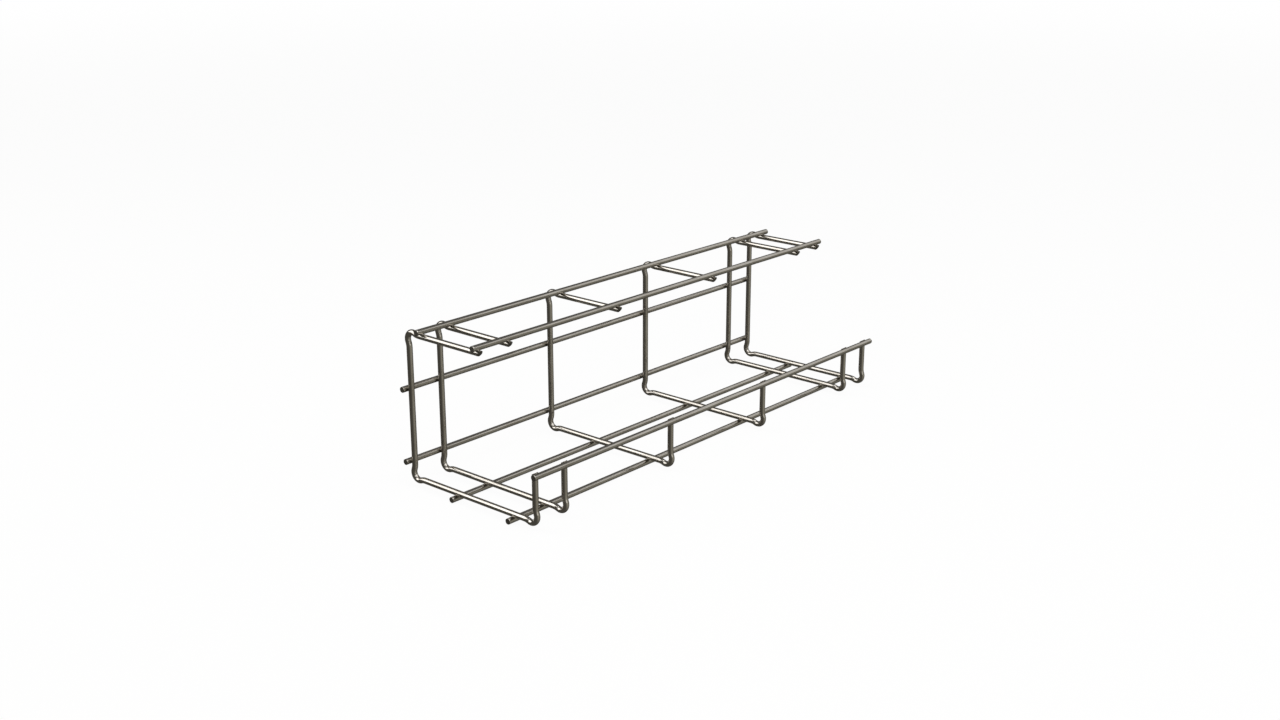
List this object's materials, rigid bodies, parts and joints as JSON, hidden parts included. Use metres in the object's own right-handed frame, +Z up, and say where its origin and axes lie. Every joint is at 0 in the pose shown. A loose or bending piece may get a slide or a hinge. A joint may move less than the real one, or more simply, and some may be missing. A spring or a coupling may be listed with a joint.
{
  "type": "wire mesh cable basket",
  "caption": "Open wire mesh basket for running cables, with a back wall, base, front lip and inward top flange, made from bent cross wires welded to straight long wires.",
  "frame": {"origin": "under the middle of the basket, on the plane it stands on", "axes": "+X along the basket, +Y towards the back wall (front lip at -Y), +Z up"},
  "size_m": [0.36, 0.119, 0.1074],
  "materials": {
    "steel_wire": "drawn, satin, bare or thinly zinc plated"
  },
  "bodies": {
    "root": {"cross_wire_1": "steel_wire", "cross_wire_2": "steel_wire", "cross_wire_3": "steel_wire", "cross_wire_4": "steel_wire", "cross_wire_5": "steel_wire", "cross_wire_6": "steel_wire", "top_rear_wire": "steel_wire", "top_front_wire": "steel_wire", "back_upper_wire": "steel_wire", "back_lower_wire": "steel_wire", "base_rear_wire": "steel_wire", "base_front_wire": "steel_wire", "lip_wire": "steel_wire"}
  },
  "joints": []
}
